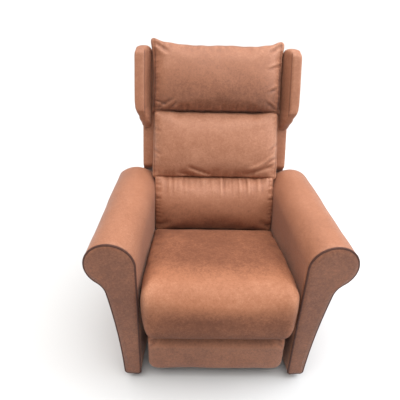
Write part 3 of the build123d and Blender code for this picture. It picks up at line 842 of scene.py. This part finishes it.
def arm_cover(side):
    """The leather round one arm, crowned a little between its seams."""
    low, high = node_box("right_arm_cover", RIGHT_ARM)
    bm = bmesh.new()
    ring = arm_outline(bm, low, high)
    steps = 24
    length = high.y - low.y
    for vertex in bm.verts:
        vertex.co.y = low.y
    for _ in range(steps):
        made = bmesh.ops.extrude_edge_only(bm, edges=ring)["geom"]
        ring = [item for item in made if isinstance(item, bmesh.types.BMEdge)
                and all(end in made for end in item.verts)]
        ring = [edge for edge in ring if len(edge.link_faces) == 1]
        ends = {end for edge in ring for end in edge.verts}
        for end in ends:
            end.co.y += length / steps
    bmesh.ops.contextual_create(bm, geom=ring)
    rims = [edge for edge in bm.edges if len(edge.link_faces) == 1]
    bmesh.ops.contextual_create(bm, geom=rims)
    bmesh.ops.bevel(
        bm, geom=ring + rims, offset=ARM_EDGE_ROUND, segments=3, profile=0.5, affect="EDGES", material=-1)
    bmesh.ops.recalc_face_normals(bm, faces=bm.faces)

    top = high.z - ARM_REAR_ROUND
    end = high.y - ARM_REAR_ROUND
    middle_x, middle_z = (low.x + ARM_OUTER_FOOT_X) / 2, (low.z + SCROLL_PINCH.z) / 2
    for vertex in bm.verts:
        point = vertex.co
        along = (point.y - low.y) / length
        crown = sin(pi * min(max(along, 0), 1)) ** 0.6
        puff = ARM_WAVES * crown * noise.noise(point * 6.5) + ARM_RIPPLES * noise.noise(point * 21.0)
        if point.z < SCROLL_PINCH.z:
            rise = (point.z - low.z) / (SCROLL_PINCH.z - low.z)
            side_crown = sin(pi * min(max(rise, 0), 1))
            puff += ARM_SIDE_CROWN * crown * side_crown if point.x > middle_x else 0
        outward = Vector((point.x - middle_x, 0, point.z - middle_z * 1.8)).normalized()
        point += outward * puff
        if point.y > end and point.z > top:
            reach = (point.y - end) / ARM_REAR_ROUND
            limit = top + ARM_REAR_ROUND * sqrt(max(0.0, 1 - min(reach, 1.0) ** 2))
            point.z = top + (point.z - top) * (limit - top) / ARM_REAR_ROUND
    turn_to_side(bm, side)
    piece = new_piece(f"{side}_arm_leather", bm, "base", replaced=[f"{side}_arm_cover"])
    refine(piece)
    # Painted shade darkens the lower part of the arm.
    add_wear_and_shading(piece, 0.7, tone=ARM_FOOT_PAINTED_SHADE * (1 - step_up(points_of(piece)[:, 2], 0.30, 0.56)))


def arm_panel(side):
    """The domed leather panel on the front of one arm."""
    low, high = node_box("right_arm_cover", RIGHT_ARM)
    bm = bmesh.new()
    ring = arm_outline(bm, low, high)
    panel = bmesh.ops.contextual_create(bm, geom=ring)["faces"]
    if panel[0].normal.y > 0:
        bmesh.ops.reverse_faces(bm, faces=panel)
    bmesh.ops.inset_region(bm, faces=panel, thickness=1.8 * WELT_R, depth=0, use_even_offset=True)
    rim = [face for face in bm.faces if face not in panel]
    bmesh.ops.delete(bm, geom=rim, context="FACES")
    back = bmesh.ops.extrude_face_region(bm, geom=panel)
    for item in back["geom"]:
        if isinstance(item, bmesh.types.BMVert):
            item.co.y -= 0.001
    panel = [item for item in back["geom"] if isinstance(item, bmesh.types.BMFace)]
    for thickness, depth in PANEL_DOME:
        bmesh.ops.inset_region(bm, faces=panel, thickness=thickness, depth=depth, use_even_offset=True)
    bmesh.ops.translate(bm, verts=bm.verts, vec=(0, PANEL_THICK * 0.75, 0))
    bmesh.ops.recalc_face_normals(bm, faces=bm.faces)
    turn_to_side(bm, side)
    piece = new_piece(f"{side}_arm_front_leather", bm, "base", replaced=[f"{side}_arm_front_panel"])
    refine(piece)
    # Painted shade darkens the whole front panel.
    add_wear_and_shading(piece, 0.5, tone=ARM_PANEL_PAINTED_SHADE)


class RECLINER_OT_arms(bpy.types.Operator):
    """Make the scroll arms: covers and domed front panels"""
    bl_idname = "recliner.arms"
    bl_label = "Arms"

    def execute(self, context):
        for side in SIDES:
            arm_cover(side)
            arm_panel(side)
        return {"FINISHED"}


# ---- wings, side panels, rear ---------------------------------------------------------------------
WING_REAR_IN = 0.262
WING_REAR_OUT = 0.301
WING_FRONT_IN = 0.288
WING_FOOT = 0.085
WING_FOOT_OUTER_TUCK = 0.034
WING_FOOT_INNER_TUCK = 0.016
SKIRT_TOP = 0.262


def wing(side):
    """A wing: a padded side profile, flared outwards towards its front edge."""
    low, high = node_box("right_wing", BACK)
    bm = bmesh.new()
    rear_foot = bm.verts.new((0, high.y, low.z))
    rear_top = run_to(bm, rear_foot, (0, high.y, high.z - 0.004), 20)
    front_top = run_to(bm, rear_top, (0, low.y + 0.052, high.z), 3)
    nose_top = bmesh.ops.extrude_vert_indiv(bm, verts=[front_top])["verts"][0]
    nose_top.co = Vector((0, low.y + 0.020, high.z - 0.010))
    brow = bmesh.ops.extrude_vert_indiv(bm, verts=[nose_top])["verts"][0]
    brow.co = Vector((0, low.y + 0.002, high.z - 0.034))
    chin = run_to(bm, brow, (0, low.y, low.z + 0.070), 14)
    throat = run_to(bm, chin, (0, low.y + 0.034, low.z + 0.030), 4)
    heel = run_to(bm, throat, (0, high.y - 0.006, low.z + 0.004), 4)
    last = run_to(bm, heel, rear_foot.co, 1)
    bmesh.ops.pointmerge(bm, verts=[rear_foot, last], merge_co=rear_foot.co)
    profile = bmesh.ops.contextual_create(bm, geom=bm.edges[:])["faces"]
    slab = bmesh.ops.extrude_face_region(bm, geom=profile)
    for item in slab["geom"]:
        if isinstance(item, bmesh.types.BMVert):
            item.co.x = 1.0
    bmesh.ops.recalc_face_normals(bm, faces=bm.faces)
    depth = high.y - low.y
    for vertex in bm.verts:
        forward = (high.y - vertex.co.y) / depth
        inner = WING_REAR_IN + (WING_FRONT_IN - WING_REAR_IN) * forward
        outer = WING_REAR_OUT + (high.x - WING_REAR_OUT) * forward ** 0.8
        lower = max(0.0, 1 - (vertex.co.z - low.z) / WING_FOOT)
        outer -= WING_FOOT_OUTER_TUCK * lower ** 1.3 * forward
        inner -= WING_FOOT_INNER_TUCK * lower ** 1.3 * forward
        vertex.co.x = outer if vertex.co.x > 0.5 else inner
    long_edges = [edge for edge in bm.edges if len(edge.link_faces) == 2
                  and edge.link_faces[0].normal.dot(edge.link_faces[1].normal) < 0.6]
    bmesh.ops.bevel(bm, geom=long_edges, offset=0.008, segments=3, profile=0.5, affect="EDGES", material=-1)
    bmesh.ops.triangulate(bm, faces=[face for face in bm.faces if len(face.verts) > 4])
    piece = new_piece(f"{side}_wing_leather", bm, "back", replaced=[f"{side}_wing", "wing_boards"])
    remesh(piece, 0.005)
    relax(piece, 4)
    refine(piece)
    points = points_of(piece)
    forward = np.clip((high.y - points[:, 1]) / depth, 0, 1)
    rise = (points[:, 2] - low.z) / (high.z - low.z)
    strip_line = bump_at(points[:, 1] - (low.y + 0.011), 0.0030) * (points[:, 0] < WING_FRONT_IN)
    points[:, 0] += 0.0032 * strip_line
    ripple = noise_row(points[:, 2], 75.0, 31) * (1 - step_up(rise, 0.10, 0.34)) * forward
    points[:, 0] += 0.0024 * ripple
    points[:, 1] -= 0.0018 * lumps(points, 14.0, 33) * forward
    points[:, 0] += 0.0020 * lumps(points, 9.0, 34)
    set_points(piece, place_points(points, BACK))
    if side == "left":
        mirror_piece(piece)
    # Painted shade darkens the seam groove beside the front strip.
    add_wear_and_shading(piece, seams=0.8 * strip_line)


def mirror_piece(piece):
    """Turn a right-hand piece into its left-hand twin."""
    bm = bmesh.new()
    bm.from_mesh(piece.data)
    bm.transform(MIRROR_X)
    bmesh.ops.reverse_faces(bm, faces=bm.faces)
    bm.to_mesh(piece.data)
    bm.free()


def flare_skirt(points, flare):
    """Spread the outer back's two lower flanks, to close the gap behind the arms."""
    across = np.abs(points[:, 0])
    beside = step_up(across, 0.200, 0.226) * step_up(points[:, 2], 0.205, 0.235)
    beside *= 1 - step_up(points[:, 2], SKIRT_TOP, SKIRT_TOP + 0.013) * (across > 0.245)
    points[:, 0] += np.sign(points[:, 0]) * flare * beside * (across < 0.240)
    points[:, 1] = np.where(beside > 0.02, np.maximum(points[:, 1], 0.031), points[:, 1])


def panel_cover(node, name, body, place, voxel, relaxing, puff, outward, seed, seams=(), skirt=0.0):
    """A firm padded panel over boards: rounded edges, a slight crown and pressed seams.

    outward is 1 where its face looks back and -1 where it looks forwards.
    """
    low, high = node_box(node, place)
    piece = cover_of(node, name, body, voxel, relaxing)
    points = place_points(points_of(piece), place.inverted())
    if skirt:
        flare_skirt(points, skirt)
    middle, half = (low + high) / 2, (high - low) / 2
    a = np.clip((points[:, 0] - middle.x) / half.x, -1, 1)
    b = np.clip((points[:, 2] - middle.z) / half.z, -1, 1)
    face = step_up(outward * points[:, 1], outward * middle.y, max(outward * low.y, outward * high.y))
    points[:, 1] += outward * puff * face * (1 - a**4) * (1 - b**4)
    for x in seams:
        points[:, 1] -= outward * 0.0022 * face * bump_at(np.abs(points[:, 0]) - x, 0.004)
    points[:, 1] += outward * 0.0018 * face * lumps(points, 8.0, seed)
    set_points(piece, place_points(points, place))
    add_wear_and_shading(piece)


def inner_back():
    """The webbing cover that closes the back's frame behind its cushions, in darker leather that is painted
    shade in the gaps between them.
    """
    low, high = node_box("back_stiles", BACK)
    bm = bmesh.new()
    bmesh.ops.create_grid(bm, x_segments=24, y_segments=36, size=0.5, matrix=Matrix.Rotation(pi / 2, 4, "X"))
    bmesh.ops.scale(bm, verts=bm.verts, vec=(high.x - low.x + 0.020, 1, high.z - low.z - 0.050))
    bmesh.ops.translate(bm, verts=bm.verts, vec=(0, low.y - 0.0055, (low.z + high.z) / 2 + 0.015))
    for vertex in bm.verts:
        vertex.co.y += 0.0006 * noise.noise(vertex.co * 12.0)
    bm.transform(BACK)
    bmesh.ops.solidify(bm, geom=bm.faces[:], thickness=0.0015)
    bmesh.ops.recalc_face_normals(bm, faces=bm.faces)
    add_wear_and_shading(new_piece("inner_back_leather", bm, "back", material="gap_shade"))


class RECLINER_OT_back_shell(bpy.types.Operator):
    """Make the wings, the side panels, the outer back and the rear apron"""
    bl_idname = "recliner.back_shell"
    bl_label = "Back shell"

    def execute(self, context):
        for side in SIDES:
            wing(side)
            panel_cover(
                f"{side}_back_side_panel", f"{side}_side_panel_leather", "back", BACK,
                voxel=0.006, relaxing=5, puff=0.002, outward=-1, seed=41,
            )
        inner_back()
        panel_cover(
            "back_outer_cover", "outer_back_leather", "back", BACK,
            voxel=0.008, relaxing=4, puff=0.007, outward=1, seed=43, seams=(0.215,), skirt=0.034,
        )
        panel_cover(
            "rear_apron", "rear_apron_leather", "base", CHAIR,
            voxel=0.004, relaxing=3, puff=0.002, outward=1, seed=45,
        )
        return {"FINISHED"}


# ---- frame finishes -------------------------------------------------------------------------------
class RECLINER_OT_frame_finishes(bpy.types.Operator):
    """Finish the timber, steel, wire and nylon pieces of the frame, and the piping"""
    bl_idname = "recliner.frame_finishes"
    bl_label = "Frame finishes"

    def execute(self, context):
        for part in frame["record"]["subparts"]:
            finish = MATERIALS.get(part["material_slot"])
            node = bpy.data.objects[part["node"]]
            if finish:
                node.data.materials.clear()
                node.data.materials.append(finish)
        return {"FINISHED"}


# ---- stage ----------------------------------------------------------------------------------------
SKY_COLOUR = (0.92, 0.96, 1.0)
OVERHEAD_COLOUR = (1.0, 0.985, 0.965)
OVERHEAD_PLACE = (-0.10, -0.20, 3.0)
SIDE_COLOUR = (0.86, 0.93, 1.0)
SIDE_PLACE = (2.0, -0.20, 2.0)
AIM = Vector((0, 0, 0.5))


class RECLINER_OT_stage(bpy.types.Operator):
    """Make the floor, the soft lights and the camera"""
    bl_idname = "recliner.stage"
    bl_label = "Stage"

    def execute(self, context):
        stage = context.scene.chair_stage
        bm = bmesh.new()
        bmesh.ops.create_grid(bm, x_segments=1, y_segments=1, size=30)
        mesh = bpy.data.meshes.new("studio_floor")
        bm.to_mesh(mesh)
        bm.free()
        floor = bpy.data.objects.new("studio_floor", mesh)
        context.scene.collection.objects.link(floor)
        material, surface, start = new_material("pale_floor")
        join(start, surface, Base_Color=(*stage.floor, 1), Roughness=0.9)
        mesh.materials.append(material)
        world = bpy.data.worlds.new("studio")
        world.use_nodes = True
        background = world.node_tree.nodes["Background"]
        background.inputs["Color"].default_value = (*SKY_COLOUR, 1)
        background.inputs["Strength"].default_value = stage.sky
        context.scene.world = world
        overhead = bpy.data.lights.new("overhead", "SUN")
        overhead.angle = radians(85)
        overhead.energy = stage.key
        overhead.color = OVERHEAD_COLOUR
        side = bpy.data.lights.new("right_side", "AREA")
        side.size = 1.6
        side.energy = stage.side
        side.color = SIDE_COLOUR
        for lamp, place in ((overhead, OVERHEAD_PLACE), (side, SIDE_PLACE)):
            lamp_object = bpy.data.objects.new(lamp.name, lamp)
            lamp_object.location = place
            aim = AIM - Vector(place)
            lamp_object.rotation_euler = aim.to_track_quat("-Z", "Y").to_euler()
            context.scene.collection.objects.link(lamp_object)
        camera = bpy.data.cameras.new("camera")
        camera.lens = stage.lens
        camera.shift_x, camera.shift_y = stage.shift
        camera_object = bpy.data.objects.new("camera", camera)
        turn = Matrix.Rotation(-stage.yaw, 4, "Z") @ Matrix.Rotation(pi / 2 - stage.pitch, 4, "X")
        camera_object.matrix_world = (
            Matrix.Translation(stage.camera) @ turn @ Matrix.Rotation(stage.roll, 4, "Z"))
        context.scene.collection.objects.link(camera_object)
        context.scene.camera = camera_object
        context.scene.view_settings.view_transform = "Standard"
        return {"FINISHED"}


class RECLINER_PT_panel(bpy.types.Panel):
    """The recliner's settings and pieces, in the sidebar"""
    bl_label = "Recliner armchair"
    bl_idname = "RECLINER_PT_panel"
    bl_space_type = "VIEW_3D"
    bl_region_type = "UI"
    bl_category = "Recliner"

    def draw(self, context):
        for group in (context.scene.chair_leather, context.scene.chair_cushions, context.scene.chair_stage):
            box = self.layout.box()
            for name in group.__annotations__:
                box.prop(group, name)
        for operator in OPERATORS:
            self.layout.operator(operator.bl_idname)


GROUPS = {"chair_leather": LeatherSettings, "chair_cushions": CushionSettings, "chair_stage": StageSettings}
OPERATORS = (
    RECLINER_OT_frame_finishes, RECLINER_OT_seat_cushion, RECLINER_OT_back_cushions, RECLINER_OT_footrest_pad,
    RECLINER_OT_arms, RECLINER_OT_back_shell, RECLINER_OT_stage,
)


def register():
    for name, group in GROUPS.items():
        bpy.utils.register_class(group)
        setattr(bpy.types.Scene, name, PointerProperty(type=group))
    for operator in OPERATORS:
        bpy.utils.register_class(operator)
    bpy.utils.register_class(RECLINER_PT_panel)


def unregister():
    bpy.utils.unregister_class(RECLINER_PT_panel)
    for operator in reversed(OPERATORS):
        bpy.utils.unregister_class(operator)
    for name, group in GROUPS.items():
        delattr(bpy.types.Scene, name)
        bpy.utils.unregister_class(group)


def main():
    register()
    make_materials()
    for operator in OPERATORS:
        group, name = operator.bl_idname.split(".")
        getattr(getattr(bpy.ops, group), name)()


if __name__ == "__main__":
    main()
